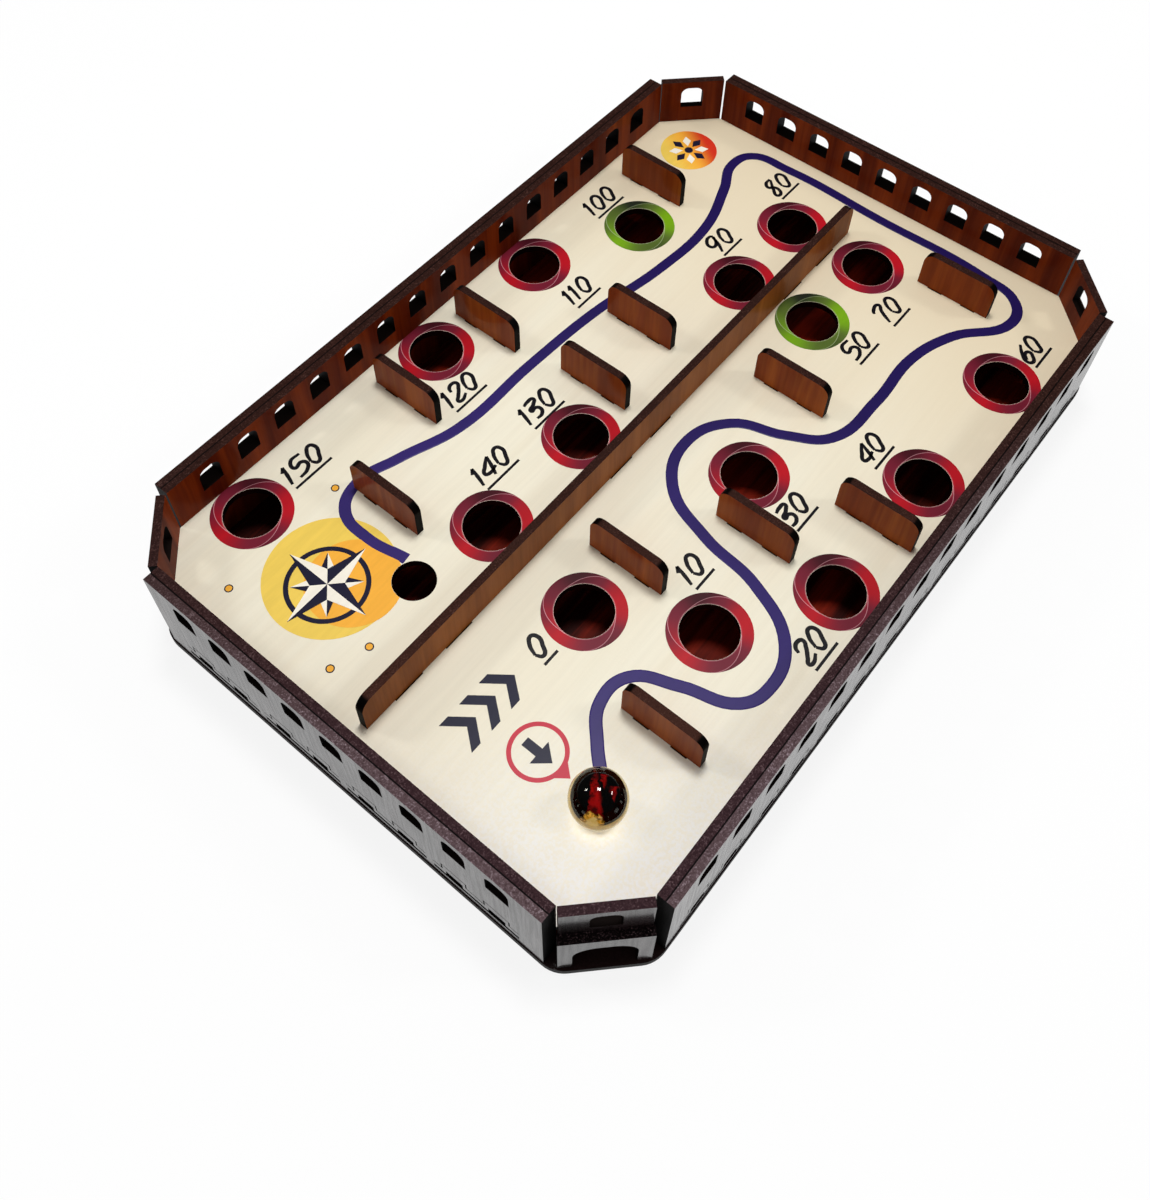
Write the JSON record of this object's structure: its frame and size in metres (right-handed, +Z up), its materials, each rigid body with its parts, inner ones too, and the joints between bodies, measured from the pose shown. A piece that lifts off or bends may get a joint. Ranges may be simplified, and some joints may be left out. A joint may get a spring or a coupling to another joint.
{
  "type": "balance board maze game",
  "caption": "Octagonal wooden tilt maze: a printed deck with scoring holes, upright barriers and a central divider inside windowed walls, with a glass marble.",
  "frame": {"origin": "middle of the underside of the base plate", "axes": "+X from the start end to the far end, +Y towards the left long wall, +Z up"},
  "size_m": [0.3006, 0.2006, 0.0424],
  "materials": {
    "varnished_board": "dark brown varnished fibreboard, laser-cut edges",
    "printed_deck": "pale birch face with a satin print",
    "clear_glass": "clear, faintly amber",
    "marble_swirl": "opaque dark swirl with red and yellow streaks"
  },
  "bodies": {
    "board": {"base_plate": "varnished_board", "play_deck": "printed_deck", "center_divider": "varnished_board", "long_wall_left_inner": "varnished_board", "long_wall_left_outer": "varnished_board", "long_wall_right_inner": "varnished_board", "long_wall_right_outer": "varnished_board", "short_wall_far_inner": "varnished_board", "short_wall_far_outer": "varnished_board", "short_wall_near_inner": "varnished_board", "short_wall_near_outer": "varnished_board", "corner_panel_start": "varnished_board", "corner_skirt_start": "varnished_board", "corner_panel_finish": "varnished_board", "corner_skirt_finish": "varnished_board", "corner_panel_far_left": "varnished_board", "corner_skirt_far_left": "varnished_board", "corner_panel_far_right": "varnished_board", "corner_skirt_far_right": "varnished_board", "barrier_01": "varnished_board", "barrier_02": "varnished_board", "barrier_03": "varnished_board", "barrier_04": "varnished_board", "barrier_05": "varnished_board", "barrier_06": "varnished_board", "barrier_07": "varnished_board", "barrier_08": "varnished_board", "barrier_09": "varnished_board", "barrier_10": "varnished_board", "barrier_11": "varnished_board", "barrier_12": "varnished_board"},
    "marble": {"marble_glass": "clear_glass"},
    "swirl": {"marble_swirl": "marble_swirl"}
  },
  "joints": [
    {"name": "marble_roll", "type": "slide", "parent": "board", "child": "marble", "axis": [0, 1, 0], "range_m": [-0.0203, 0.0571]},
    {"name": "marble_spin", "type": "hinge", "parent": "marble", "child": "swirl", "pos_m": [-0.1131, -0.0653, 0.0316], "axis": [1, 0, 0], "range_deg": [-386, 138]}
  ],
  "couplings": [
    {"joint": "marble_spin", "follows": "marble_roll", "rad_per_m": -117.65}
  ]
}
